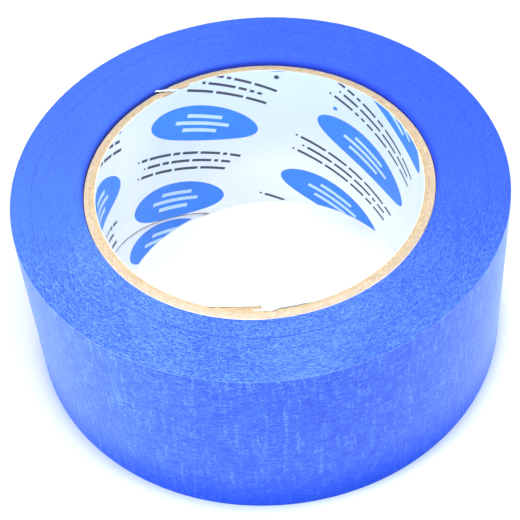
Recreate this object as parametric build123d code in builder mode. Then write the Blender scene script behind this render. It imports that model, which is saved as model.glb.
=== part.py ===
from build123d import *
import os
from math import cos, sin, pi, radians

# Roll of crepe masking tape, standing on one end face.
# Millimetres. Origin: centre of the lower end face of the tape. +Z: along the core's axis.

# ---- core: spirally wound paper tube for a 3 inch (76.2 mm) hub ----
core_inner_r = 38.10          # wall of the printed liner
liner_t = 0.14                # thickness of the printed paper liner
ply_count = 4                 # kraft plies outside the liner
core_outer_r = 40.80
ply_t = (core_outer_r - core_inner_r - liner_t) / ply_count

# ---- tape: one ribbon wound on the core ----
tape_width = 48.0
core_inset = 0.50             # the core is cut a little shorter, and lies this deep in each end face
core_length = tape_width - 2 * core_inset
tape_pitch = 0.13             # radial step of one turn: crepe paper, adhesive and air
roll_outer_r = 57.85          # outer radius where the last full turn ends
pack_r = roll_outer_r - 2 * tape_pitch    # outer radius of the pack where the last turn starts

# ---- free end of the tape, the part of the next turn that lies on top ----
end_angle0 = 66.0             # where the free end begins, degrees from +X
span_angle = 12.0             # each flexing span of the free end
span_count = 4
peel_gap = 0.03               # air under the free end's adhesive
cut_gap = 0.05                # slit between neighbouring spans

a = tape_pitch / 4            # a four-centre spiral grows by this much per quarter turn
cut_angle = cut_gap / roll_outer_r * 180 / pi


def unit(angle):
    return (cos(radians(angle)), sin(radians(angle)))


# The four centres sit on a small square around the axis. Quarter k is drawn about centre k
# with a radius a larger than the quarter before, so the curve is smooth and climbs by one
# pitch in one turn.
e = unit(end_angle0)
n = unit(end_angle0 + 90)
spiral_centres = [
    ((a * n[0] - a * e[0]) / 2, (a * n[1] - a * e[1]) / 2),
    ((-a * n[0] - a * e[0]) / 2, (-a * n[1] - a * e[1]) / 2),
    ((-a * n[0] + a * e[0]) / 2, (-a * n[1] + a * e[1]) / 2),
    ((a * n[0] + a * e[0]) / 2, (a * n[1] + a * e[1]) / 2),
]


def on_spiral(k, radius, angle):
    c, u = spiral_centres[k], unit(angle)
    return (c[0] + radius * u[0], c[1] + radius * u[1])


os.makedirs("parts", exist_ok=True)

# ---------------------------------------------------------------- core
with BuildPart() as printed_liner:
    with BuildSketch(Plane.XY.offset(core_inset)):
        Circle(core_inner_r + liner_t)
        Circle(core_inner_r, mode=Mode.SUBTRACT)
    extrude(amount=core_length)
printed_liner.part.label = "printed_liner"
export_step(printed_liner.part, "parts/printed_liner.step")

ply_r = [core_inner_r + liner_t + k * ply_t for k in range(ply_count + 1)]

with BuildPart() as inner_kraft_ply:
    with BuildSketch(Plane.XY.offset(core_inset)):
        Circle(ply_r[1])
        Circle(ply_r[0], mode=Mode.SUBTRACT)
    extrude(amount=core_length)
inner_kraft_ply.part.label = "inner_kraft_ply"
export_step(inner_kraft_ply.part, "parts/inner_kraft_ply.step")

with BuildPart() as third_kraft_ply:
    with BuildSketch(Plane.XY.offset(core_inset)):
        Circle(ply_r[2])
        Circle(ply_r[1], mode=Mode.SUBTRACT)
    extrude(amount=core_length)
third_kraft_ply.part.label = "third_kraft_ply"
export_step(third_kraft_ply.part, "parts/third_kraft_ply.step")

with BuildPart() as second_kraft_ply:
    with BuildSketch(Plane.XY.offset(core_inset)):
        Circle(ply_r[3])
        Circle(ply_r[2], mode=Mode.SUBTRACT)
    extrude(amount=core_length)
second_kraft_ply.part.label = "second_kraft_ply"
export_step(second_kraft_ply.part, "parts/second_kraft_ply.step")

with BuildPart() as outer_kraft_ply:
    with BuildSketch(Plane.XY.offset(core_inset)):
        Circle(ply_r[4])
        Circle(ply_r[3], mode=Mode.SUBTRACT)
    extrude(amount=core_length)
outer_kraft_ply.part.label = "outer_kraft_ply"
export_step(outer_kraft_ply.part, "parts/outer_kraft_ply.step")

# ---------------------------------------------------------------- wound tape
# All the turns but the last one. Its outside is one turn of the spiral, with a radial step
# of one pitch where the last turn starts.
with BuildPart() as wound_tape:
    with BuildSketch() as pack_section:
        with BuildLine():
            for k in range(4):
                CenterArc(spiral_centres[k], pack_r + k * a, end_angle0 + 90 * k, 90)
            Line(
                on_spiral(3, pack_r + 3 * a, end_angle0 + 360),
                on_spiral(0, pack_r, end_angle0),
            )
        make_face()
        Circle(core_outer_r, mode=Mode.SUBTRACT)
    extrude(amount=tape_width)
wound_tape.part.label = "wound_tape"
export_step(wound_tape.part, "parts/wound_tape.step")

# The last full turn, from the step round to where the free end begins.
with BuildPart() as outer_turn:
    with BuildSketch() as turn_section:
        with BuildLine():
            for k in range(4):
                sweep_angle = 90 - (cut_angle if k == 3 else 0)
                CenterArc(
                    spiral_centres[k], pack_r + k * a, end_angle0 + 90 * k, sweep_angle
                )
                CenterArc(
                    spiral_centres[k],
                    pack_r + tape_pitch + k * a,
                    end_angle0 + 90 * k,
                    sweep_angle,
                )
            Line(
                on_spiral(0, pack_r, end_angle0),
                on_spiral(0, pack_r + tape_pitch, end_angle0),
            )
            Line(
                on_spiral(3, pack_r + 3 * a, end_angle0 + 360 - cut_angle),
                on_spiral(3, pack_r + tape_pitch + 3 * a, end_angle0 + 360 - cut_angle),
            )
        make_face()
    extrude(amount=tape_width)
outer_turn.part.label = "outer_turn"
export_step(outer_turn.part, "parts/outer_turn.step")

# ---------------------------------------------------------------- free end
end_in_r = pack_r + tape_pitch + peel_gap
end_out_r = pack_r + 2 * tape_pitch


def span_corners(k):
    start = end_angle0 + span_angle * k
    stop = start + span_angle - (cut_angle if k < span_count - 1 else 0)
    return start, stop


start, stop = span_corners(0)
with BuildPart() as tape_end_root:
    with BuildSketch():
        with BuildLine():
            CenterArc(spiral_centres[0], end_in_r, start, stop - start)
            CenterArc(spiral_centres[0], end_out_r, start, stop - start)
            Line(on_spiral(0, end_in_r, start), on_spiral(0, end_out_r, start))
            Line(on_spiral(0, end_in_r, stop), on_spiral(0, end_out_r, stop))
        make_face()
    extrude(amount=tape_width)
tape_end_root.part.label = "tape_end_root"
export_step(tape_end_root.part, "parts/tape_end_root.step")

start, stop = span_corners(1)
with BuildPart() as tape_end_second:
    with BuildSketch():
        with BuildLine():
            CenterArc(spiral_centres[0], end_in_r, start, stop - start)
            CenterArc(spiral_centres[0], end_out_r, start, stop - start)
            Line(on_spiral(0, end_in_r, start), on_spiral(0, end_out_r, start))
            Line(on_spiral(0, end_in_r, stop), on_spiral(0, end_out_r, stop))
        make_face()
    extrude(amount=tape_width)
tape_end_second.part.label = "tape_end_second"
export_step(tape_end_second.part, "parts/tape_end_second.step")

start, stop = span_corners(2)
with BuildPart() as tape_end_third:
    with BuildSketch():
        with BuildLine():
            CenterArc(spiral_centres[0], end_in_r, start, stop - start)
            CenterArc(spiral_centres[0], end_out_r, start, stop - start)
            Line(on_spiral(0, end_in_r, start), on_spiral(0, end_out_r, start))
            Line(on_spiral(0, end_in_r, stop), on_spiral(0, end_out_r, stop))
        make_face()
    extrude(amount=tape_width)
tape_end_third.part.label = "tape_end_third"
export_step(tape_end_third.part, "parts/tape_end_third.step")

start, stop = span_corners(3)
with BuildPart() as tape_end_tip:
    with BuildSketch():
        with BuildLine():
            CenterArc(spiral_centres[0], end_in_r, start, stop - start)
            CenterArc(spiral_centres[0], end_out_r, start, stop - start)
            Line(on_spiral(0, end_in_r, start), on_spiral(0, end_out_r, start))
            Line(on_spiral(0, end_in_r, stop), on_spiral(0, end_out_r, stop))
        make_face()
    extrude(amount=tape_width)
tape_end_tip.part.label = "tape_end_tip"
export_step(tape_end_tip.part, "parts/tape_end_tip.step")

# Each span turns about a line along its outer edge, in the slit before it, so that lifting
# the end opens the slit on the adhesive side.
for k in range(span_count):
    x, y = on_spiral(0, end_out_r, end_angle0 + span_angle * k - cut_angle / 2)
    print("pivot", k + 1, round(x, 5), round(y, 5))
turns = (roll_outer_r - core_outer_r) / tape_pitch
length = pi * (roll_outer_r**2 - core_outer_r**2) / tape_pitch / 1000
print("turns", round(turns), "ribbon length m", round(length, 1))
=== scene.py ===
import bpy
import math
import numpy as np
from mathutils import Matrix, Vector


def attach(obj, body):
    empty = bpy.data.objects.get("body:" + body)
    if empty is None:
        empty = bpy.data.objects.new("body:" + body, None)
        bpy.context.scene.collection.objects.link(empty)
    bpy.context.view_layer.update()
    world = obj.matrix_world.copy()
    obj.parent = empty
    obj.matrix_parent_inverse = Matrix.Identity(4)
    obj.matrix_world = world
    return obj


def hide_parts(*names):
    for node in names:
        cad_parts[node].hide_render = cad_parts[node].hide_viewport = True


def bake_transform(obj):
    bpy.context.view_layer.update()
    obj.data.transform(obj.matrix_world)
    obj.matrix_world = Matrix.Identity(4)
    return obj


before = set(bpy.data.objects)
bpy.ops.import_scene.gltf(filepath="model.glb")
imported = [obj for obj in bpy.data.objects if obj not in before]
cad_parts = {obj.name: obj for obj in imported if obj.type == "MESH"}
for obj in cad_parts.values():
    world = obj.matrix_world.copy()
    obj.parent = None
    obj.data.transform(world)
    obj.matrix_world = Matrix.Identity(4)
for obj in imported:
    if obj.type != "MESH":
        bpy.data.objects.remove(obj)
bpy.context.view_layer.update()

MM = 0.001
PI = math.pi

# ------------------------------------------------------------------ sizes, mm
CORE_R = 38.10            # liner's inner face
LINER_T = 0.14
PLY_T = 0.64
CORE_OUT = 40.80
CORE_Z0, CORE_Z1 = 0.50, 47.50
TAPE_H = 48.0
PITCH = 0.13
PACK_R = 57.59
END_A0 = 66.0             # where the free end begins
SPAN = 12.0
CUT = 0.05 / 57.85 * 180 / PI
HELIX = 0.476             # drop of the core's seams per mm of arc
HELIX_ANG = math.atan(HELIX)


# ------------------------------------------------------------------ helpers
def fnoise(rows, cols, dr, dc, lr, lc, seed, high=None):
    """Smooth random field that closes on itself both ways: spacing dr, dc and grain size lr, lc."""
    rng = np.random.default_rng(seed)
    w = rng.standard_normal((rows, cols))
    fr = np.fft.fftfreq(rows, dr)[:, None]
    fc = np.fft.rfftfreq(cols, dc)[None, :]
    g = np.exp(-2.0 * ((fr * lr) ** 2 + (fc * lc) ** 2) * PI)
    if high:
        g = g * (1 - np.exp(-((fc * high) ** 2) * 4))
    n = np.fft.irfft2(np.fft.rfft2(w) * g, s=(rows, cols))
    return n / (n.std() + 1e-12)


def smooth01(t):
    t = np.clip(t, 0, 1)
    return t * t * (3 - 2 * t)


def build(name, verts, quads, tris=None, mats=(), mat_index=None, sharp=38, attrs=None):
    """A mesh object from arrays in millimetres."""
    me = bpy.data.meshes.new(name)
    v = np.asarray(verts, float) * MM
    q = np.asarray(quads, np.int64).reshape(-1, 4)
    t = np.asarray(tris if tris is not None else [], np.int64).reshape(-1, 3)
    me.vertices.add(len(v))
    me.vertices.foreach_set("co", v.astype(np.float32).ravel())
    idx = np.concatenate([q.ravel(), t.ravel()])
    me.loops.add(len(idx))
    me.polygons.add(len(q) + len(t))
    me.loops.foreach_set("vertex_index", idx.astype(np.int32))
    starts = np.concatenate([np.arange(len(q)) * 4, len(q) * 4 + np.arange(len(t)) * 3])
    me.polygons.foreach_set("loop_start", starts.astype(np.int32))
    me.update(calc_edges=True)
    me.validate()
    me.polygons.foreach_set("use_smooth", np.ones(len(me.polygons), bool))
    for m in mats:
        me.materials.append(m)
    if mat_index is not None:
        me.polygons.foreach_set("material_index", np.asarray(mat_index, np.int32))
    if sharp:
        me.set_sharp_from_angle(angle=math.radians(sharp))
    for key, val in (attrs or {}).items():
        a = me.attributes.new(key, "FLOAT", "POINT")
        a.data.foreach_set("value", np.asarray(val, np.float32))
    me.update()
    o = bpy.data.objects.new(name, me)
    bpy.context.scene.collection.objects.link(o)
    return o


def grid_quads(nr, nc, wrap_r=False, wrap_c=False, start=0, flip=False):
    """Quads of a grid of vertices numbered row by row."""
    r = np.arange(nr if wrap_r else nr - 1)
    c = np.arange(nc if wrap_c else nc - 1)
    R, C = np.meshgrid(r, c, indexing="ij")
    R1, C1 = (R + 1) % nr, (C + 1) % nc
    q = np.stack([R * nc + C, R * nc + C1, R1 * nc + C1, R1 * nc + C], -1).reshape(-1, 4)
    if flip:
        q = q[:, ::-1]
    return q + start


def cyl(r, ang, z):
    return np.stack([r * np.cos(ang), r * np.sin(ang), z], -1)


# ------------------------------------------------------------------ materials
class Nodes:
    def __init__(self, name):
        self.m = bpy.data.materials.new(name)
        self.m.use_nodes = True
        self.t = self.m.node_tree
        self.t.nodes.clear()
        self.out = self.add("ShaderNodeOutputMaterial")
        self.p = self.add("ShaderNodeBsdfPrincipled")
        self.link(self.p.outputs[0], self.out.inputs[0])
        self.co = self.add("ShaderNodeTexCoord").outputs["Object"]

    def add(self, kind, **kw):
        n = self.t.nodes.new(kind)
        for k, v in kw.items():
            setattr(n, k, v)
        return n

    def link(self, a, b):
        self.t.links.new(a, b)

    def put(self, socket, val):
        if isinstance(val, bpy.types.NodeSocket):
            self.link(val, socket)
        else:
            socket.default_value = val

    def math(self, op, a, b=None, c=None, clamp=False):
        n = self.add("ShaderNodeMath", operation=op, use_clamp=clamp)
        self.put(n.inputs[0], a)
        if b is not None:
            self.put(n.inputs[1], b)
        if c is not None:
            self.put(n.inputs[2], c)
        return n.outputs[0]

    def scaled(self, sx, sy, sz, co=None):
        n = self.add("ShaderNodeVectorMath", operation="MULTIPLY")
        self.link(co or self.co, n.inputs[0])
        n.inputs[1].default_value = (sx, sy, sz)
        return n.outputs[0]

    def noise(self, co, scale=1.0, detail=2.0, rough=0.5, lac=2.0, distort=0.0):
        n = self.add("ShaderNodeTexNoise")
        self.link(co, n.inputs["Vector"])
        n.inputs["Scale"].default_value = scale
        n.inputs["Detail"].default_value = detail
        n.inputs["Roughness"].default_value = rough
        n.inputs["Lacunarity"].default_value = lac
        n.inputs["Distortion"].default_value = distort
        return n.outputs["Fac"]

    def ramp(self, fac, stops, interp="LINEAR"):
        n = self.add("ShaderNodeValToRGB")
        n.color_ramp.interpolation = interp
        el = n.color_ramp.elements
        while len(el) < len(stops):
            el.new(0.5)
        for e, (pos, col) in zip(el, stops):
            e.position = pos
            e.color = (*col, 1) if len(col) == 3 else col
        self.link(fac, n.inputs[0])
        return n.outputs[0]

    def grey(self, fac, lo, hi, a=0.0, b=1.0):
        n = self.add("ShaderNodeMapRange", clamp=True)
        self.put(n.inputs["Value"], fac)
        n.inputs["From Min"].default_value = lo
        n.inputs["From Max"].default_value = hi
        n.inputs["To Min"].default_value = a
        n.inputs["To Max"].default_value = b
        return n.outputs[0]

    def mix(self, fac, a, b, mode="MIX"):
        n = self.add("ShaderNodeMix", data_type="RGBA", blend_type=mode)
        self.put(n.inputs[0], fac)
        for s, v in ((n.inputs[6], a), (n.inputs[7], b)):
            self.put(s, (*v, 1) if isinstance(v, tuple) and len(v) == 3 else v)
        return n.outputs[2]

    def attr(self, name):
        n = self.add("ShaderNodeAttribute", attribute_name=name)
        return n.outputs["Fac"]

    def polar(self, k_r, k_arc, k_z=0.0):
        """Coordinates that run fast across the turns and slowly along them, with no join."""
        sep = self.add("ShaderNodeSeparateXYZ")
        self.link(self.co, sep.inputs[0])
        x, y, z = sep.outputs
        r = self.math("SQRT", self.math("ADD", self.math("MULTIPLY", x, x), self.math("MULTIPLY", y, y)))
        inv = self.math("DIVIDE", k_arc * 0.048, r)
        comb = self.add("ShaderNodeCombineXYZ")
        self.link(self.math("MULTIPLY", r, k_r), comb.inputs[0])
        self.link(self.math("MULTIPLY", x, inv), comb.inputs[1])
        self.link(self.math("MULTIPLY", y, inv), comb.inputs[2])
        if k_z:
            add = self.add("ShaderNodeVectorMath", operation="ADD")
            c2 = self.add("ShaderNodeCombineXYZ")
            self.link(self.math("MULTIPLY", z, k_z), c2.inputs[1])
            self.link(comb.outputs[0], add.inputs[0])
            self.link(c2.outputs[0], add.inputs[1])
            return add.outputs[0], r
        return comb.outputs[0], r

    def bump(self, height, distance, strength=1.0, normal=None):
        n = self.add("ShaderNodeBump")
        n.inputs["Strength"].default_value = strength
        n.inputs["Distance"].default_value = distance
        self.link(height, n.inputs["Height"])
        if normal:
            self.link(normal, n.inputs["Normal"])
        return n.outputs[0]

    def finish(self, color, rough, normal=None, **kw):
        self.put(self.p.inputs["Base Color"], (*color, 1) if isinstance(color, tuple) else color)
        self.put(self.p.inputs["Roughness"], rough)
        if normal is not None:
            self.link(normal, self.p.inputs["Normal"])
        for k, v in kw.items():
            self.p.inputs[k.replace("_", " ")].default_value = v
        return self.m


def crepe_material():
    n = Nodes("blue_crepe_paper")
    fine = n.noise(n.scaled(3200, 3200, 2700), detail=2, rough=0.75)             # fibres
    weft = n.noise(n.scaled(430, 430, 3000), detail=2, rough=0.6)                # fine lines along the tape
    weft2 = n.noise(n.scaled(260, 260, 1500), detail=1)
    bend = n.add("ShaderNodeVectorMath", operation="ADD")
    wander = n.add("ShaderNodeTexNoise")
    n.link(n.scaled(130, 130, 260), wander.inputs["Vector"])
    wander.inputs["Detail"].default_value = 1
    push = n.add("ShaderNodeVectorMath", operation="MULTIPLY")
    n.link(wander.outputs["Color"], push.inputs[0])
    push.inputs[1].default_value = (0.0014, 0.0014, 0.0)
    n.link(n.co, bend.inputs[0])
    n.link(push.outputs[0], bend.inputs[1])
    co_w = bend.outputs[0]                                                       # creases wander a little
    warp = n.noise(n.scaled(1500, 1500, 115, co_w), detail=0.6, rough=0.6)       # creping across the tape
    warp2 = n.noise(n.scaled(2400, 2400, 230, co_w), detail=0.5)
    patch = n.noise(n.scaled(300, 300, 220), detail=3, rough=0.6)
    streak = n.math("MAXIMUM", n.grey(warp, 0.615, 0.74), n.math("MULTIPLY", n.grey(warp2, 0.62, 0.73), 0.70))
    v = n.math("ADD", n.math("MULTIPLY", n.grey(fine, 0.41, 0.59), 0.34), n.math("MULTIPLY", n.grey(weft, 0.39, 0.55), 0.32))
    v = n.math("ADD", v, n.math("MULTIPLY", n.grey(weft2, 0.30, 0.46), 0.16))
    v = n.math("ADD", v, n.math("MULTIPLY", n.grey(patch, 0.36, 0.64), 0.08))
    v = n.math("ADD", v, n.math("MULTIPLY", streak, 0.43))
    v = n.math("ADD", v, n.math("MULTIPLY", n.attr("ridge"), 0.10))
    col = n.ramp(v, [(0.20, (0.000, 0.034, 0.50)), (0.44, (0.000, 0.051, 0.62)), (0.60, (0.001, 0.074, 0.72)), (1.0, (0.082, 0.205, 0.82))])
    # painted shade: the creped face turns a darker, deeper blue and reflects less towards the floor, standing in for
    # the contact shadow
    painted_floor_shade = n.attr("painted_floor_shade")
    col = n.mix(n.math("MULTIPLY", painted_floor_shade, 0.80), col, (0.000, 0.045, 0.64))
    h = n.math("ADD", n.math("MULTIPLY", fine, 0.4), n.math("MULTIPLY", weft, 0.7))
    h = n.math("ADD", h, n.math("MULTIPLY", streak, 0.6))
    rough = n.grey(fine, 0.2, 0.8, 0.40, 0.52)
    n.link(n.grey(painted_floor_shade, 0.0, 1.0, 0.56, 0.05), n.p.inputs["Specular IOR Level"])
    n.p.inputs["Sheen Tint"].default_value = (0.60, 0.84, 1.0, 1)
    return n.finish(col, rough, n.bump(h, 0.00009, 0.9), IOR=1.30, Sheen_Weight=0.44, Sheen_Roughness=0.36)


def edge_material():
    n = Nodes("blue_tape_edges")
    co, r = n.polar(6800, 1150)
    turns = n.noise(co, detail=3, rough=0.7)                                    # each turn's cut edge
    co2, _ = n.polar(2200, 260)
    bands = n.noise(co2, detail=2, rough=0.65)
    speck = n.noise(n.scaled(5600, 5600, 5600), detail=2, rough=0.75)
    big = n.noise(n.scaled(55, 55, 55), detail=2)
    v = n.math("ADD", n.math("MULTIPLY", n.grey(turns, 0.37, 0.63), 0.44), n.math("MULTIPLY", n.grey(speck, 0.40, 0.60), 0.40))
    v = n.math("ADD", v, n.math("MULTIPLY", n.grey(bands, 0.35, 0.65), 0.11))
    v = n.math("ADD", v, n.math("MULTIPLY", n.grey(big, 0.35, 0.65), 0.07))
    # painted light: the speckle's contrast fades away from the front
    v = n.math("SUBTRACT", v, n.math("MULTIPLY", n.attr("speckle_light_fade"), n.math("SUBTRACT", v, 0.50)))
    col = n.ramp(v, [(0.22, (0.004, 0.035, 0.34)), (0.41, (0.028, 0.093, 0.67)), (0.56, (0.055, 0.150, 0.79)), (0.84, (0.155, 0.312, 0.87))])
    # painted shade: dark navy in the grooves and in the crevice by the core
    col = n.mix(n.grey(n.attr("groove"), 0.0, 1.0), col, (0.009, 0.036, 0.19))
    # painted shade: a deeper, darker blue for the side of the roll that gets less light
    shaded_edge_col = n.ramp(v, [(0.25, (0.002, 0.020, 0.58)), (0.50, (0.006, 0.039, 0.78)), (0.80, (0.020, 0.096, 0.90))])
    col = n.mix(n.math("MULTIPLY", n.attr("painted_side_shade"), 0.60), col, shaded_edge_col)
    # painted highlight on rims that catch the light
    col = n.mix(n.attr("painted_light"), col, (0.62, 0.74, 0.92))
    h = n.math("ADD", n.math("MULTIPLY", turns, 1.0), n.math("MULTIPLY", speck, 0.8))
    return n.finish(col, 0.78, n.bump(h, 0.00012, 0.9), IOR=1.45, Specular_IOR_Level=0.35)


def adhesive_material():
    n = Nodes("tape_adhesive_side")
    a = n.noise(n.scaled(1500, 1500, 260), detail=3)
    b = n.noise(n.scaled(3600, 3600, 1300), detail=3)
    v = n.math("ADD", n.math("MULTIPLY", a, 0.5), n.math("MULTIPLY", b, 0.5))
    col = n.ramp(v, [(0.3, (0.05, 0.13, 0.62)), (0.7, (0.12, 0.24, 0.78))])
    return n.finish(col, n.grey(b, 0.2, 0.8, 0.22, 0.34), n.bump(v, 0.00005, 0.5), Specular_IOR_Level=0.6)


def kraft_material(name, tint, seed):
    n = Nodes(name)
    off = n.add("ShaderNodeVectorMath", operation="ADD")
    n.link(n.co, off.inputs[0])
    off.inputs[1].default_value = (0.013 * seed, 0.007 * seed, 0.003 * seed)
    co = off.outputs[0]
    fib = n.noise(n.scaled(2600, 2600, 2600, co), detail=4, rough=0.7, distort=0.6)
    big = n.noise(n.scaled(420, 420, 420, co), detail=3, rough=0.6)
    dark = n.noise(n.scaled(1500, 1500, 1500, co), detail=2, rough=0.6)
    v = n.math("ADD", n.math("MULTIPLY", n.grey(fib, 0.28, 0.72), 0.55), n.math("MULTIPLY", n.grey(big, 0.3, 0.7), 0.45))
    c0 = tuple(0.74 * x for x in tint)
    c1 = tuple(min(1.0, 1.16 * x) for x in tint)
    col = n.ramp(v, [(0.0, c0), (0.5, tint), (1.0, c1)])
    pink = n.grey(n.noise(n.scaled(900, 900, 900, co), detail=2, rough=0.6), 0.56, 0.68)
    col = n.mix(n.math("MULTIPLY", pink, 0.5), col, (0.61, 0.42, 0.33))
    cream = n.grey(n.noise(n.scaled(1250, 1250, 1250, co), detail=2, rough=0.6), 0.58, 0.70)
    col = n.mix(n.math("MULTIPLY", cream, 0.5), col, (0.68, 0.60, 0.43))
    spots = n.grey(dark, 0.64, 0.72)
    col = n.mix(n.math("MULTIPLY", spots, 0.4), col, tuple(0.5 * x for x in tint))
    # painted light: paler where the upper face and its outer edge catch the light
    col = n.mix(n.attr("painted_light"), col, (0.86, 0.86, 0.84))
    # painted shadow: dark brown in the crack and gap, and a slight darker tint on the lapped edge, broken up by noise
    broken = n.grey(n.noise(n.scaled(520, 520, 520, co), detail=1), 0.26, 0.38)
    col = n.mix(n.math("MULTIPLY", n.attr("painted_shadow_and_tint"), broken), col, (0.16, 0.105, 0.045))
    return n.finish(col, 0.92, n.bump(n.math("ADD", fib, n.math("MULTIPLY", big, 0.5)), 0.00012, 0.8), Specular_IOR_Level=0.2)


def liner_material():
    n = Nodes("white_liner_paper")
    fib = n.noise(n.scaled(1900, 1900, 1900), detail=4, rough=0.65, distort=0.4)
    big = n.noise(n.scaled(70, 70, 110), detail=3)
    v = n.math("ADD", n.math("MULTIPLY", fib, 0.5), n.math("MULTIPLY", big, 0.5))
    col = n.ramp(v, [(0.25, (0.735, 0.785, 0.83)), (0.5, (0.785, 0.825, 0.86)), (0.8, (0.83, 0.855, 0.88))])
    col = n.mix(n.attr("shade"), col, (0.62, 0.735, 0.92), "MULTIPLY")          # painted shade: the paper is greyer towards the open end
    return n.finish(col, n.grey(big, 0.3, 0.7, 0.46, 0.58), n.bump(v, 0.00005, 0.6), Specular_IOR_Level=0.45)


def ink_material(name, tint, mottled, rough):
    n = Nodes(name)
    a = n.noise(n.scaled(1700, 1700, 1700), detail=3, rough=0.7)
    b = n.noise(n.scaled(230, 230, 230), detail=2)
    v = n.math("ADD", n.math("MULTIPLY", a, 0.6), n.math("MULTIPLY", b, 0.4))
    lo = tuple(x * (1 - mottled) for x in tint)
    hi = tuple(min(1, x * (1 + mottled) + mottled * 0.02) for x in tint)
    col = n.ramp(v, [(0.3, lo), (0.7, hi)])
    return n.finish(col, rough, n.bump(a, 0.00003, 0.5), Specular_IOR_Level=0.45)


M_CREPE = crepe_material()
M_EDGE = edge_material()
M_GLUE = adhesive_material()
M_LINER = liner_material()
M_KRAFT = [
    kraft_material("kraft_inner", (0.420, 0.320, 0.194), 1),
    kraft_material("kraft_third", (0.420, 0.322, 0.215), 2),
    kraft_material("kraft_second", (0.420, 0.332, 0.237), 3),
    kraft_material("kraft_outer", (0.430, 0.352, 0.266), 4),
]
M_RAW = kraft_material("raw_paper_edge", (0.30, 0.235, 0.16), 5)
M_INK_BLUE = ink_material("ink_blue", (0.024, 0.198, 0.73), 0.14, 0.5)
M_INK_WHITE = ink_material("ink_pale", (0.46, 0.64, 0.88), 0.06, 0.5)
M_INK_DARK = ink_material("ink_dark", (0.040, 0.048, 0.072), 0.30, 0.55)


# ------------------------------------------------------------------ wound pack
def pack_edge(ang):
    """Outer radius of the pack, one turn of a spiral that starts at END_A0."""
    t = ((ang - END_A0) % 360.0) / 360.0
    return PACK_R + PITCH * t


def edge_side_shade(xyz):
    """Painted shade: the cut edges turn a deeper, darker blue towards the right and back of the roll, and a little on
    the left, for light that falls off across the upper face.
    """
    a = np.arctan2(xyz[:, 1], xyz[:, 0])
    return 0.5 + 0.5 * np.cos(a - math.radians(28)) + 0.26 * smooth01((np.cos(a - math.radians(197)) - 0.15) / 0.55)


def edge_speckle_light_fade(xyz):
    """Painted light: the speckle is weaker away from the front of the roll, where the light shows the edges' relief
    less.
    """
    return -0.10 + 0.80 * (1 - smooth01((np.cos(np.arctan2(xyz[:, 1], xyz[:, 0]) - math.radians(271)) - 0.05) / 0.60))


def wound_pack():
    cols, rings = 360, 133
    ang = END_A0 + np.linspace(0, 360 - 0.12, cols)
    arad = np.radians(ang)
    edge = pack_edge(ang)
    j = np.arange(rings)
    u = j / (rings - 1)
    r = (CORE_OUT + 0.10) + u[:, None] * (edge[None, :] - CORE_OUT - 0.10)

    def relief(seed):
        per_turn = np.random.default_rng(seed).standard_normal(rings)[:, None] * 0.012
        n2 = fnoise(rings, cols, 0.13, 0.86, 0.06, 5.0, seed + 1) * 0.014
        n3 = fnoise(rings, cols, 0.13, 0.86, 0.9, 9.0, seed + 2) * 0.022
        n4 = fnoise(rings, cols, 0.13, 0.86, 4.0, 25.0, seed + 3) * 0.03
        wob = 0.25 * np.sin(arad * 2 + seed) + 0.15 * np.sin(arad * 5 + 1.3 * seed)
        win = 0.12 + 0.88 * smooth01((np.cos(arad - math.radians(263)) - 0.78) / 0.16)
        groove = np.exp(-(((r - 46.0 - 0.5 * wob[None, :]) / 0.15) ** 2)) * win[None, :]
        groove2 = np.exp(-(((r - 52.6 + wob[None, :]) / 0.12) ** 2)) * (0.45 - 0.4 * win[None, :])
        dip = -0.34 * np.exp(-((r - CORE_OUT) / 0.75) ** 1.3)
        h = per_turn + n2 + n3 + n4 - 0.07 * (groove + groove2) + dip
        # painted shade: the returned weight darkens the colour in the two shallow grooves and along the inner turns
        # next to the core, most at the back and sides, where shade falls in the crevice
        rear_painted_shade = smooth01((np.cos(arad - math.radians(90)) + 0.30) / 0.5) * (0.55 + 0.45 * smooth01((np.cos(arad - math.radians(22)) - 0.2) / 0.7))
        return h, 0.8 * groove + groove2 + 2.3 * rear_painted_shade[None, :] * np.exp(-((r - CORE_OUT) / 0.66) ** 1.3)

    h_top, g_top = relief(11)
    h_bot, g_bot = relief(31)
    z_top = TAPE_H + h_top
    z_bot = np.maximum(0.0, 0.04 - h_bot)
    a = np.broadcast_to(arad[None, :], r.shape)
    top = cyl(r, a, z_top).reshape(-1, 3)
    bot = cyl(r, a, z_bot).reshape(-1, 3)
    n = rings * cols
    q = [grid_quads(rings, cols, wrap_c=True, flip=True), grid_quads(rings, cols, wrap_c=True, start=n)]
    c = np.arange(cols)
    c1 = (c + 1) % cols
    inner = np.stack([c, c1, n + c1, n + c], -1)
    last = (rings - 1) * cols
    outer = np.stack([last + c1, last + c, n + last + c, n + last + c1], -1)
    q += [inner, outer]
    painted_groove_shade = np.concatenate([g_top.ravel(), g_bot.ravel()])
    painted_light = np.zeros((2, rings, cols))
    # painted highlight: the innermost turn's upper edge is paler at the front, where it catches the light
    painted_light[0, 0] = 0.35 * smooth01((np.cos(arad - math.radians(262)) - 0.35) / 0.4)
    o = build("wound_tape_pack", np.concatenate([top, bot]), np.concatenate(q), mats=[M_EDGE], attrs={"groove": painted_groove_shade, "painted_light": painted_light.ravel(), "painted_side_shade": edge_side_shade(np.concatenate([top, bot])), "speckle_light_fade": edge_speckle_light_fade(np.concatenate([top, bot]))}, sharp=50)
    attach(o, "roll")
    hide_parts("wound_tape")
    return o


# ------------------------------------------------------------------ creped sheet
COL = 0.33                               # column spacing along the ribbon
WRAP_COLS = 1100
FLAP_COLS = 146
ROWS = 62


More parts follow.
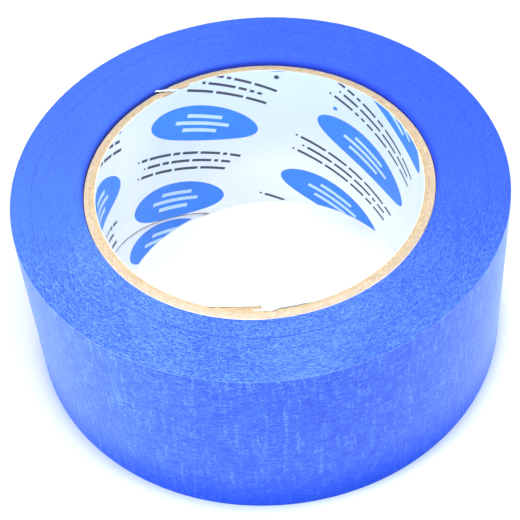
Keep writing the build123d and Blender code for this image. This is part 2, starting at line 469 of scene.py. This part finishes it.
def crepe_field():
    cols = WRAP_COLS + FLAP_COLS + 54
    dz = TAPE_H / (ROWS - 1)
    wavy = fnoise(ROWS, cols, dz, COL, 1.6, 0.30, 71, high=1.2)          # fine creping
    folds = fnoise(ROWS, cols, dz, COL, 2.6, 0.26, 72, high=1.5)         # sparse stronger wrinkles
    lines = fnoise(ROWS, cols, dz, COL, 0.30, 7.0, 73)                   # along the tape
    soft = fnoise(ROWS, cols, dz, COL, 9.0, 14.0, 74)
    some = smooth01((fnoise(ROWS, cols, dz, COL, 3.5, 3.0, 75) + 0.9) / 1.6)
    ridge = np.clip((folds - 1.25) / 1.3, 0, 1) * some
    h = 0.012 * wavy + 0.055 * ridge + 0.005 * lines + 0.012 * soft
    return h, ridge


CREPE, RIDGE = crepe_field()


def sheet(name, ang, r_in, r_out, first_col, mats, body, lift=None, ragged=False, closed_inner=True, z_raise=0.03):
    """A strip of tape standing on edge: outer face creped, inner face smooth, edges closed."""
    nc = len(ang)
    k = np.arange(first_col, first_col + nc)
    h = CREPE[:, k]
    rid = RIDGE[:, k]
    zn = fnoise(2, CREPE.shape[1], 1, COL, 0.01, 0.5, 77)[:, k] * 0.018
    z_lo = np.maximum(0.0, 0.015 + zn[0])
    z_hi = TAPE_H + z_raise + zn[1]
    t = np.linspace(0, 1, ROWS)[:, None]
    z = z_lo[None, :] * (1 - t) + z_hi[None, :] * t
    # the last row at each edge is rounded over a little
    edge = np.minimum(t, 1 - t) * TAPE_H
    ro = r_out[None, :] + h * smooth01(edge / 0.8) - 0.035 * np.exp(-((edge / 0.25) ** 2))
    ri = np.broadcast_to(r_in[None, :], ro.shape)
    a = np.broadcast_to(np.radians(ang)[None, :], ro.shape)
    if lift is not None:
        ro = ro + lift[None, :]
        ri = ri + lift[None, :]
    inner_rows = [0, ROWS // 4, ROWS // 2, 3 * ROWS // 4, ROWS - 1] if not ragged else list(range(0, ROWS, 3)) + ([ROWS - 1] if (ROWS - 1) % 3 else [])
    # one closed loop of vertices per column: up the outer face, down the inner face
    outer = cyl(ro, a, z)
    inner = cyl(ri, a, z)[inner_rows][::-1]
    if ragged:
        # the cut at the ribbon's end isn't quite straight
        cut = fnoise(ROWS, 8, TAPE_H / (ROWS - 1), 1, 0.5, 0.5, 78)[:, 0] * 0.05 + fnoise(ROWS, 8, TAPE_H / (ROWS - 1), 1, 5, 0.5, 79)[:, 0] * 0.08
        wgt = smooth01((np.arange(nc) - (nc - 7)) / 6.0)
        tang = np.array([-math.sin(math.radians(ang[-1])), math.cos(math.radians(ang[-1])), 0.0])
        outer = outer + (cut[:, None] * wgt[None, :])[..., None] * tang
        inner = inner + (cut[inner_rows][::-1][:, None] * wgt[None, :])[..., None] * tang
    loop = np.concatenate([outer, inner], 0)             # rows x columns
    nr = loop.shape[0]
    verts = loop.reshape(-1, 3)
    q = grid_quads(nr, nc, wrap_r=True)
    rows_of = np.repeat(np.arange(nr), nc - 1)
    mat_index = np.where((rows_of >= ROWS - 1) | (rows_of < 0), 1, 0)
    mat_index = np.where((rows_of >= ROWS) & (rows_of < nr - 1), 2, mat_index)
    # end caps: strips between the outer and inner columns
    tris = []
    for col, flip in ((0, False), (nc - 1, True)):
        oc = [i * nc + col for i in range(ROWS)]
        ic = [(nr - 1 - i) * nc + col for i in range(nr - ROWS)]
        src = [inner_rows[i] for i in range(len(inner_rows))]
        for s in range(len(src) - 1):
            a0, a1 = src[s], src[s + 1]
            mid = (a0 + a1) // 2
            for i in range(a0, a1):
                tri = (oc[i], oc[i + 1], ic[s] if i < mid else ic[s + 1])
                tris.append(tri if not flip else tri[::-1])
            tri = (ic[s], oc[mid], ic[s + 1])
            tris.append(tri if not flip else tri[::-1])
    tris = np.array(tris)
    mat_index = np.concatenate([mat_index, np.ones(len(tris), int)])
    ridge_attr = np.concatenate([rid, np.zeros((nr - ROWS, nc))], 0).ravel()
    # painted shade: weight for the darker, less glossy band over the lowest 15 mm
    painted_floor_shade = (1 - smooth01((loop[..., 2] - 0.5) / 15.0)).ravel()
    rim = np.zeros((nr, nc))
    rim[ROWS - 1] = rim[ROWS] = 0.22                       # the cut rim of the outermost turn catches the light
    o = build(name, verts, q, tris, mats=mats, mat_index=mat_index, attrs={"ridge": ridge_attr, "groove": np.zeros(nr * nc), "painted_light": rim.ravel(), "painted_floor_shade": painted_floor_shade, "painted_side_shade": edge_side_shade(loop.reshape(-1, 3)), "speckle_light_fade": edge_speckle_light_fade(loop.reshape(-1, 3))})
    return o


def outer_wrap():
    ang = np.linspace(END_A0, END_A0 + 360 - CUT, WRAP_COLS)
    t = (ang - END_A0) / 360
    o = sheet("outer_turn_of_tape", ang, PACK_R + PITCH * t + 0.004, PACK_R + PITCH * (1 + t), 0, [M_CREPE, M_EDGE, M_GLUE], "roll")
    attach(o, "roll")
    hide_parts("outer_turn")
    return o


def free_end():
    total = 4 * SPAN
    ang = np.linspace(END_A0, END_A0 + total, FLAP_COLS)
    r_out = np.full(FLAP_COLS, PACK_R + 2 * PITCH)
    r_in = r_out - 0.095
    lift = 0.10 * smooth01((ang - END_A0 - total + 9) / 9.0) ** 2
    cuts = [0, SPAN * 0.5, SPAN * 1.5, SPAN * 2.5, SPAN * 3.5, total]
    names = ["free_end_root", "free_end_second", "free_end_third", "free_end_fourth", "free_end_tip"]
    idx = [int(round(c / total * (FLAP_COLS - 1))) for c in cuts]
    nodes = ["tape_end_root", "tape_end_second", "tape_end_third", "tape_end_tip"]
    made = []
    for i, name in enumerate(names):
        sl = slice(idx[i], idx[i + 1] + 1)
        o = sheet(name, ang[sl], r_in[sl], r_out[sl], WRAP_COLS + idx[i], [M_CREPE, M_EDGE, M_GLUE], None, lift=lift[sl], ragged=(i == 4))
        if i < 4:
            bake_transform(o)
            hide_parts(nodes[i])
        else:
            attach(o, "end_tip")
            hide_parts("tape_end_tip")
        made.append(o)
    return made


# ------------------------------------------------------------------ core
# Unrolled coordinates of the core's wall: X to the right as seen from inside, from 215 degrees,
# Y down from the level of the tape's upper face. The seams run down to the right at HELIX_ANG.
CIRC = 2 * PI * CORE_R
SEAM_X0 = -31.8
Z_ORG = 48.0


def ang_of(X):
    return math.radians(215.0) - X / CORE_R


def seam_x(Y):
    """Where the lapped edge of the inner wall lies; near the upper end it has crept along."""
    return SEAM_X0 + Y / HELIX - 4.4 * np.exp(-((Y / 4.0) ** 2))


def lap(t, Y):
    """How far the lapped edge stands in from the wall, t mm past the seam along the arc."""
    T = 0.34 + 0.86 * np.exp(-((Y / 6.0) ** 2))
    up = T * (1 - np.clip(t / 11.2, 0, 1) ** 2.3)
    return np.where(t >= 0, up, 0.0)


def near(X, c, w, Y, d):
    """A smooth window round X = c, the same place one turn on, fading with depth."""
    out = 0
    for k in (-1, 0, 1):
        out = out + np.exp(-(((X - c - k * CIRC) / w) ** 4))
    return out * np.exp(-((Y / d) ** 2))


def bulge(X, Y):
    """Where the liner has come away from the wall near the upper end, beside the seam."""
    return 0.36 * near(X, SEAM_X0 - 10.0, 3.6, Y, 5.0)


def thick(X, Y):
    """Where torn paper is folded over the inner ply's edge, beside the seam."""
    return 0.38 * near(X, SEAM_X0 - 4.9, 1.7, Y, 2.5)


def wave(X, Y):
    """The liner's slight unevenness."""
    k = 2 * PI / CIRC
    return 0.010 * np.sin(k * 7 * X + 0.21 * Y) + 0.008 * np.sin(k * 17 * X - 0.33 * Y + 1.0) + 0.006 * np.sin(k * 4 * X + 0.55 * Y + 2.2)


SEAM_B_ANG = (119.9, 125.4)              # the plies' staggered butt joints, inner to outer, at the upper end


def butt_ang(r, z):
    top = SEAM_B_ANG[0] + (SEAM_B_ANG[1] - SEAM_B_ANG[0]) * (r - 38.2) / (CORE_OUT - 38.2)
    return np.radians(top) - (CORE_Z1 - z) / (HELIX * CORE_R)


def butt_gap(r):
    """Width of the butt joint's opening, mm."""
    return 1.45 - 0.55 * np.clip((r - 38.2) / (CORE_OUT - 38.2), 0, 1)


def kraft_ply(k, name, node):
    r0 = CORE_R + LINER_T + PLY_T * k
    r1 = r0 + PLY_T - (0.08 if k == 3 else 0.0)
    cols, wall, face = 560, 61, (10 if k == 0 else 5)
    seed = 200 + 10 * k
    zt = fnoise(face + 1, cols, 0.12, 0.43, 0.16, 0.5, seed) * 0.022 + fnoise(face + 1, cols, 0.12, 0.43, 1.0, 5.0, seed + 1) * 0.02
    zb = fnoise(face + 1, cols, 0.12, 0.43, 0.16, 0.5, seed + 2) * 0.022
    ply_h = [0.0, -0.015, 0.01, -0.01][k]
    s = np.linspace(0, 1, cols)
    loops = []

    def column_angles(r, z):
        g = butt_gap(r) / 2 / r
        start = butt_ang(r, z) + g
        return start + s * (2 * PI - 2 * g)

    def inner_r(z, base):
        a = column_angles(r0, z)
        if k > 0:
            return np.full(cols, base)
        X = (math.radians(215.0) - a) * CORE_R
        Y = np.full_like(X, Z_ORG - z)
        t = (X - seam_x(Y)) % CIRC
        return base - np.where(t < 11.5, lap(t, Y), 0.0) + thick(X, Y)

    def face_drop(f):
        r = r0 + f * PLY_T
        worn = 0.04 + 0.56 * smooth01((np.cos(column_angles(r, CORE_Z1) - math.radians(95)) + 0.15) / 1.05)
        rim = worn * (((r - 38.24) / 2.56) ** 1.6 + (0.16 * np.exp(-(((1 - f) / 0.25) ** 2)) if k == 3 else 0.0))
        return -0.035 * (np.exp(-((f / 0.12) ** 2)) + np.exp(-(((1 - f) / 0.12) ** 2))) - rim

    fs = np.linspace(0, 1, face + 1)
    # up the inner wall
    for z in np.linspace(np.full(cols, CORE_Z0 + 0.05), CORE_Z1 - 0.05 + face_drop(0.0), wall):
        loops.append(cyl(inner_r(z, r0), column_angles(r0, z), z))
    # across the upper face
    for i, f in enumerate(fs):
        ri = inner_r(CORE_Z1, r0)
        rr = ri + f * (r1 - ri)
        a0 = column_angles(r0, CORE_Z1)
        a1 = column_angles(r1, CORE_Z1)
        loops.append(cyl(rr, a0 + f * (a1 - a0), CORE_Z1 - 0.005 + zt[i] + face_drop(f) + ply_h))
    # down the outer wall
    for z in np.linspace(CORE_Z1 - 0.05 + face_drop(1.0), np.full(cols, CORE_Z0 + 0.05), wall):
        loops.append(cyl(np.full(cols, r1), column_angles(r1, z), z))
    for i, f in enumerate(fs[::-1]):
        ri = inner_r(CORE_Z0, r0)
        rr = ri + f * (r1 - ri)
        a0 = column_angles(r0, CORE_Z0)
        a1 = column_angles(r1, CORE_Z0)
        loops.append(cyl(rr, a0 + f * (a1 - a0), CORE_Z0 + 0.02 + zb[i] + 0.04 * (f < 0.1) + 0.04 * (f > 0.9)))
    loop = np.stack(loops, 0)
    nr = loop.shape[0]
    q = grid_quads(nr, cols, wrap_r=True, flip=False)
    caps = []
    # end caps of the strip, quads from the inner wall's vertices to the outer wall's
    order_in = list(range(0, wall))
    order_out = list(range(nr - (face + 1) - 1, nr - (face + 1) - 1 - wall, -1))
    top = list(range(wall, wall + face + 1))
    bot = list(range(nr - 1, nr - 1 - (face + 1), -1))
    for col, flip in ((0, False), (cols - 1, True)):
        def put(a, b, c, d=None):
            f_ = [x * cols + col for x in ((a, b, c, d) if d is not None else (a, b, c))]
            f_ = f_[::-1] if flip else f_
            caps.append(f_)
        for i in range(wall - 1):
            put(order_in[i], order_in[i + 1], order_out[i + 1], order_out[i])
        # fans at the upper and lower ends
        fan = top[::-1]
        for i in range(len(fan) - 1):
            put(order_in[-1], fan[i + 1], fan[i])
        put(order_in[-1], fan[0], order_out[-1])
        fan = bot[::-1]
        for i in range(len(fan) - 1):
            put(order_in[0], fan[i], fan[i + 1])
        put(order_in[0], order_out[0], fan[0])
    quads = np.concatenate([q, np.array([c for c in caps if len(c) == 4])])
    tris = np.array([c for c in caps if len(c) == 3])
    painted_light = np.zeros(loop.shape[:2])
    painted_shadow_and_tint = np.zeros(loop.shape[:2])
    if k:
        # painted light: the face is paler at the front, where the light falls
        front = smooth01((np.cos(column_angles(r0, CORE_Z1) - math.radians(266)) - 0.62) / 0.33)
        painted_light[wall:wall + face + 1] = 0.07 * front
    if k == 3:
        # painted highlight: the outer edge of the upper face is pale at the front, where it catches the light
        win = smooth01((np.cos(column_angles(r1, CORE_Z1) - math.radians(262)) - 0.35) / 0.4)
        painted_light[wall + face] = win
        painted_light[wall + face - 1] = 0.2 * win
        painted_light[wall + face + 1] = win
    if k == 0:
        # painted shadow: dark brown in the crack under the lapped edge and along the gap where the liner has come
        # away, with a slight darker tint over the lapped edge
        a = column_angles(r0, CORE_Z1)
        X = (math.radians(215.0) - a) * CORE_R
        Y = np.full_like(X, Z_ORG - CORE_Z1)
        t = (X - seam_x(Y)) % CIRC
        ri = inner_r(CORE_Z1, r0)
        crack = (0.40 + 0.60 * smooth01((t - 5.5) / 2.5)) * smooth01((12.4 - t) / 1.2) * (t > 0.3)
        lapped = (t > 0.3) & (t < 11.3)
        deg = np.degrees(a) % 360
        away = smooth01((deg - 271.8) / 0.6) * np.exp(-np.maximum(deg - 273, 0) / 6.0) * (deg < 290)
        for i, f in enumerate(fs):
            rr = ri + f * (r1 - ri)
            painted_shadow_and_tint[wall + i] = crack * np.exp(-(((rr - ri - 0.08) / 0.20) ** 2)) + away * np.exp(-((f / 0.16) ** 2)) + 0.13 * lapped * (rr < r0 - 0.02)
        painted_shadow_and_tint[wall - 1] = away
    o = build(name, loop.reshape(-1, 3), quads, tris, mats=[M_KRAFT[k]], sharp=50, attrs={"painted_light": painted_light.ravel(), "painted_shadow_and_tint": painted_shadow_and_tint.ravel()})
    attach(o, "roll")
    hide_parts(node)
    return o


def liner_r(X, Y):
    """Radius of the liner's inner face at an unrolled place."""
    t = (X - seam_x(Y)) % CIRC
    return CORE_R - lap(np.where(t < 11.5, t, -1), Y) - bulge(X, Y) + wave(X, Y)


def liner():
    ov = 2.0                              # how far the covered edge runs on under the lap
    t = np.concatenate([[0.0, 0.85], np.linspace(0.4, 14, 39), np.linspace(14.6, CIRC - 14, 360), np.linspace(CIRC - 13.6, CIRC + ov, 40)])
    rows = 81
    Yg = np.linspace(Z_ORG - CORE_Z1, Z_ORG - CORE_Z0, rows)
    nc = len(t)
    fr_top = fnoise(1, 2048, 1, 0.12, 0.01, 0.35, 91)[0] * 0.035 + fnoise(1, 2048, 1, 0.12, 0.01, 2.0, 92)[0] * 0.03
    fr_bot = fnoise(1, 2048, 1, 0.12, 0.01, 0.35, 93)[0] * 0.03
    inner, outer = [], []
    for i, Y in enumerate(Yg):
        X = seam_x(Y) + t
        a = ang_of(X)
        Yv = np.full_like(t, Y)
        lapped = lap(np.where(t < 11.5, t, -1), Yv)
        base = CORE_R - lapped - bulge(X, Yv) + wave(X, Yv)
        # the covered edge lies a little deeper under the lap
        base = base + 0.03 * smooth01((t - CIRC + 3.0) / 3.0)
        zt = Z_ORG - Y
        if i == 0:
            deg = np.degrees(a) % 360
            rag = np.interp(X % 240, np.arange(2048) * 0.12, fr_top)
            torn = 0.62 * np.exp(-(((deg - 118.5) / 7.2) ** 6)) * (1 + 5.0 * rag)
            torn = torn - 0.75 * np.exp(-(((deg - 112.6) / 1.1) ** 2))
            z = zt + 0.03 + rag - torn + 0.12 * np.exp(-(((deg - 268) / 5.0) ** 2))
        elif i == rows - 1:
            # except at the front, the paper reaches down past the plies
            past = np.maximum(smooth01((np.cos(a) - 0.1) / 0.4), smooth01((0.55 + np.sin(a)) / 0.3))
            z = np.maximum(zt + 0.18 - 0.62 * past + 2.0 * np.interp(X % 240, np.arange(2048) * 0.12, fr_bot), 0.03)
        else:
            z = np.full(nc, zt)
        inner.append(cyl(base, a, z))
        outer.append(cyl(base + LINER_T - 0.02 + thick(X, Yv), a, z))
    loop = np.concatenate([np.stack(inner), np.stack(outer)[::-1]], 0)
    nr = loop.shape[0]
    q = grid_quads(nr, nc, wrap_r=True, flip=False)
    raw = (np.arange(len(q)) % (nc - 1)) == 0
    caps = []
    for col, flip in ((0, False), (nc - 1, True)):
        for i in range(rows - 1):
            f_ = [x * nc + col for x in (i, i + 1, nr - 2 - i, nr - 1 - i)]
            caps.append(f_ if not flip else f_[::-1])
    quads = np.concatenate([q, np.array(caps)])
    raw = np.concatenate([raw, np.ones(len(caps), bool)])
    verts = loop.reshape(-1, 3)

    # the buried edge of the same paper, which shows in the plies' butt joint
    nz, nrd = 50, 9
    zz = np.linspace(CORE_Z0 + 0.05, CORE_Z1 + 0.02, nz)
    rr = np.linspace(38.16, CORE_OUT - 0.01, nrd)
    sides = []
    for sgn in (-1, 1):
        pts = []
        for iz, z in enumerate(zz):
            half = np.maximum(butt_gap(rr) * 0.46, 0.05)
            a = butt_ang(rr, z) + sgn * half / rr
            top = z + (0.10 * np.sin(rr * 7.0 + sgn) + 0.22 if iz == nz - 1 else 0)
            pts.append(cyl(rr, a, np.broadcast_to(top, rr.shape)))
        sides.append(np.stack(pts))
    base_i = len(verts)
    A = sides[0].reshape(-1, 3)
    B = sides[1].reshape(-1, 3)
    n1 = nz * nrd
    qa = grid_quads(nz, nrd, start=base_i)
    qb = grid_quads(nz, nrd, start=base_i + n1, flip=True)
    rim = []
    for i in range(nrd - 1):
        top = (nz - 1) * nrd
        rim.append([base_i + top + i, base_i + top + i + 1, base_i + n1 + top + i + 1, base_i + n1 + top + i])
        rim.append([base_i + i + 1, base_i + i, base_i + n1 + i, base_i + n1 + i + 1])
    for i in range(nz - 1):
        rim.append([base_i + i * nrd, base_i + (i + 1) * nrd, base_i + n1 + (i + 1) * nrd, base_i + n1 + i * nrd])
        rim.append([base_i + (i + 1) * nrd + nrd - 1, base_i + i * nrd + nrd - 1, base_i + n1 + i * nrd + nrd - 1, base_i + n1 + (i + 1) * nrd + nrd - 1])
    verts = np.concatenate([verts, A, B])
    quads = np.concatenate([quads, qa, qb, np.array(rim)])
    raw = np.concatenate([raw, np.zeros(len(quads) - len(raw), bool)])
    a = np.arctan2(verts[:, 1], verts[:, 0])
    # painted shade: greyer towards the open end, most at the back
    shade = np.clip((verts[:, 2] - 13.0) / 31.0, 0, 1) ** 0.9 * (0.28 + 0.54 * smooth01((np.cos(a - math.radians(78)) - 0.35) / 0.5))
    o = build("paper_liner", verts, quads, mats=[M_LINER, M_RAW], mat_index=raw.astype(int), sharp=45, attrs={"shade": shade})
    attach(o, "roll")
    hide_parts("printed_liner")
    return o


# ------------------------------------------------------------------ print on the liner
C_, S_ = math.cos(HELIX_ANG), math.sin(HELIX_ANG)


def clip(poly, f):
    """Part of a convex polygon where f(point) >= 0, f being linear."""
    out = []
    n = len(poly)
    for i in range(n):
        a, b = poly[i], poly[(i + 1) % n]
        fa, fb = f(a), f(b)
        if fa >= 0:
            out.append(a)
        if (fa >= 0) != (fb >= 0):
            w = fa / (fa - fb)
            out.append((a[0] + w * (b[0] - a[0]), a[1] + w * (b[1] - a[1])))
    return out


def ink(name, polys, lift, mat):
    """Thin printed areas: small convex polygons in the strip's own u, v, laid on the liner."""
    verts, faces = [], []
    index = {}

    def vid(p):
        key = (round(p[0], 4), round(p[1], 4))
        if key not in index:
            index[key] = len(verts)
            verts.append(p)
        return index[key]

    Ymin, Ymax = Z_ORG - CORE_Z1, Z_ORG - CORE_Z0
    for poly in polys:
        P = [(u * C_ - v * S_, u * S_ + v * C_) for u, v in poly]
        P = clip(P, lambda p: p[1] - Ymin - 0.10)
        if len(P) >= 3:
            P = clip(P, lambda p: Ymax - 0.06 - p[1])
        if len(P) >= 3:
            P = clip(P, lambda p: (p[0] - SEAM_X0 - p[1] / HELIX) - 0.05)
        if len(P) >= 3:
            P = clip(P, lambda p: CIRC - 0.05 - (p[0] - SEAM_X0 - p[1] / HELIX))
        if len(P) < 3:
            continue
        cx, cy = sum(p[0] for p in P) / len(P), sum(p[1] for p in P) / len(P)
        if cx > seam_x(cy) + CIRC - 0.3:
            continue
        if cy < 1.6 and 108 < math.degrees(ang_of(cx)) % 360 < 128:
            continue
        ids = []
        for p in P:
            i = vid(p)
            if i not in ids:
                ids.append(i)
        if len(ids) >= 3:
            faces.append(ids)
    V = np.array(verts)
    X, Y = V[:, 0], V[:, 1]
    r = liner_r(X, Y)
    a = ang_of(X)
    me = bpy.data.meshes.new(name)
    top = cyl(r - lift, a, Z_ORG - Y) * MM
    me.from_pydata([tuple(p) for p in top], [], faces)
    me.validate()
    me.update()
    me.polygons.foreach_set("use_smooth", np.ones(len(me.polygons), bool))
    me.materials.append(mat)
    o = bpy.data.objects.new(name, me)
    bpy.context.scene.collection.objects.link(o)
    # faces look towards the axis
    p0 = me.polygons[0]
    c = Vector(p0.center)
    if p0.normal.dot(Vector((-c.x, -c.y, 0))) < 0:
        me.flip_normals()
    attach(o, "roll")
    return o


def ellipse_cells(u0, v0, a, b, step=0.9):
    n_ang = 48
    n_r = max(3, int(b / step) + 3)
    cells = []
    for i in range(n_r):
        f0, f1 = i / n_r, (i + 1) / n_r
        for j in range(n_ang):
            t0, t1 = 2 * PI * j / n_ang, 2 * PI * (j + 1) / n_ang
            p = [(u0 + f * a * math.cos(t), v0 + f * b * math.sin(t)) for f, t in ((f0, t0), (f1, t0), (f1, t1), (f0, t1))]
            if i == 0:
                p = p[1:]
            cells.append(p)
    return cells


def bar_cells(u0, v0, length, height, step=1.0):
    n = max(1, int(math.ceil(length / step)))
    cells = []
    for i in range(n):
        a = u0 + length * i / n
        b = u0 + length * (i + 1) / n
        cells.append([(a, v0), (b, v0), (b, v0 + height), (a, v0 + height)])
    return cells


def printing():
    rng = np.random.default_rng(5)
    ovals, bars, dashes, dots = [], [], [], []
    for i in range(-4, 9):
        for j in range(-6, 5):
            u0 = 69.0 + (43.2 if i > 0 else 41.1) * i
            v0 = -16.75 + (i % 2) * 12.3 + 24.6 * j - 0.9 * i
            ovals += ellipse_cells(u0, v0, 15.8, 5.65)
            for n, (L, dv) in enumerate(((10.0, -2.75), (15.5, -0.55), (10.0, 1.65))):
                bars += bar_cells(u0 - L / 2, v0 + dv, L, 1.1)
            for n, (L, du, dv) in enumerate(((31.5, -16.6, 9.2), (26.5, -13.6, 11.7), (29.5, -15.4, 14.2))):
                u = u0 + du
                dots += ellipse_cells(u - 1.2, v0 + dv + 0.37, 0.34, 0.34, 0.2)
                end = u + L
                while u < end - 1.2:
                    wd = min(float(rng.choice([1.2, 2.2, 4.6, 5.8, 7.4])), end - u)
                    dashes += bar_cells(u, v0 + dv - 0.03, wd, 0.82)
                    u += wd + 0.85
    o1 = ink("print_ovals", ovals, 0.026, M_INK_BLUE)
    o2 = ink("print_bars", bars, 0.046, M_INK_WHITE)
    o3 = ink("print_rows", dashes + dots, 0.026, M_INK_DARK)
    o4 = ink("print_dot_dark", ellipse_cells(82.0, -36.1, 0.66, 0.66, 0.3), 0.030, M_INK_DARK)
    o5 = ink("print_dot_blue", ellipse_cells(98.8, -36.2, 0.62, 0.62, 0.3), 0.030, M_INK_BLUE)
    return [o1, o2, o3, o4, o5]


wound_pack()
outer_wrap()
free_end()
for k, (nm, node) in enumerate((("inner_ply", "inner_kraft_ply"), ("third_ply", "third_kraft_ply"), ("second_ply", "second_kraft_ply"), ("outer_ply", "outer_kraft_ply"))):
    kraft_ply(k, nm, node)
liner()
printing()

# ------------------------------------------------------------------ floor, light, camera
def floor():
    n = Nodes("studio_floor")
    a = n.noise(n.scaled(30, 30, 30), detail=2)
    col = n.ramp(a, [(0.3, (0.79, 0.805, 0.82)), (0.7, (0.81, 0.82, 0.83))])
    # painted shadow: a soft darker ring round the foot of the roll, standing in for its contact shadow
    sep = n.add("ShaderNodeSeparateXYZ")
    n.link(n.co, sep.inputs[0])
    r = n.math("SQRT", n.math("ADD", n.math("POWER", sep.outputs[0], 2.0), n.math("POWER", sep.outputs[1], 2.0)))
    painted_contact_shadow = n.math("EXPONENT", n.math("MULTIPLY", n.math("SUBTRACT", 0.0580, r), 1 / 0.0024), clamp=True)
    painted_contact_shadow = n.math("MULTIPLY", painted_contact_shadow, n.math("GREATER_THAN", r, 0.050))
    col = n.mix(painted_contact_shadow, col, (0.46, 0.54, 0.57))
    n.finish(col, 0.6, Specular_IOR_Level=0.3, Emission_Strength=0.0)
    n.p.inputs["Emission Color"].default_value = (0.97, 0.985, 1.0, 1)
    me = bpy.data.meshes.new("floor")
    s = 3.0
    me.from_pydata([(-s, -s, 0), (s, -s, 0), (s, s, 0), (-s, s, 0)], [], [(0, 1, 2, 3)])
    me.materials.append(n.m)
    o = bpy.data.objects.new("floor", me)
    bpy.context.scene.collection.objects.link(o)
    return o


floor()

world = bpy.data.worlds.new("studio")
bpy.context.scene.world = world
world.use_nodes = True
bg = world.node_tree.nodes["Background"]
bg.inputs[0].default_value = (0.89, 0.955, 1.0, 1)
bg.inputs[1].default_value = 0.66


def area(name, loc, target, size, power, color=(1, 1, 1)):
    d = bpy.data.lights.new(name, "AREA")
    d.shape = "DISK"
    d.size = size
    d.energy = power
    d.color = color
    o = bpy.data.objects.new(name, d)
    bpy.context.scene.collection.objects.link(o)
    o.location = loc
    o.rotation_euler = (Vector(target) - Vector(loc)).to_track_quat("-Z", "Y").to_euler()
    return o


area("key_light", (-0.135, -0.10, 0.19), (0, 0, 0.03), 0.12, 0.42)
area("right_fill", (0.14, -0.12, 0.085), (0, 0, 0.04), 0.06, 0.105)
area("top_fill", (0.11, -0.01, 0.38), (0, 0, 0.02), 0.24, 1.38)
area("left_fill", (-0.16, -0.11, 0.070), (0, 0, 0.03), 0.06, 0.11)

cam_d = bpy.data.cameras.new("camera")
cam = bpy.data.objects.new("camera", cam_d)
bpy.context.scene.collection.objects.link(cam)
dist, el, roll = 347.105, math.radians(46.086), -0.081
pos = Vector((0, -dist * math.cos(el), dist * math.sin(el) + 48.0)) * MM
tgt = Vector((-1.068, -24.349, 48.0)) * MM
b = (pos - tgt).normalized()
r = Vector((0, 0, 1)).cross(b).normalized()
u = b.cross(r)
r2 = math.cos(roll) * r + math.sin(roll) * u
u2 = -math.sin(roll) * r + math.cos(roll) * u
cam.matrix_world = Matrix(((r2.x, u2.x, b.x, pos.x), (r2.y, u2.y, b.y, pos.y), (r2.z, u2.z, b.z, pos.z), (0, 0, 0, 1)))
cam_d.sensor_width = 36.0
cam_d.lens = 1498.472 / 520 * 36.0
cam_d.clip_start = 0.01
cam_d.clip_end = 20
bpy.context.scene.camera = cam
bpy.context.scene.view_settings.view_transform = "Standard"
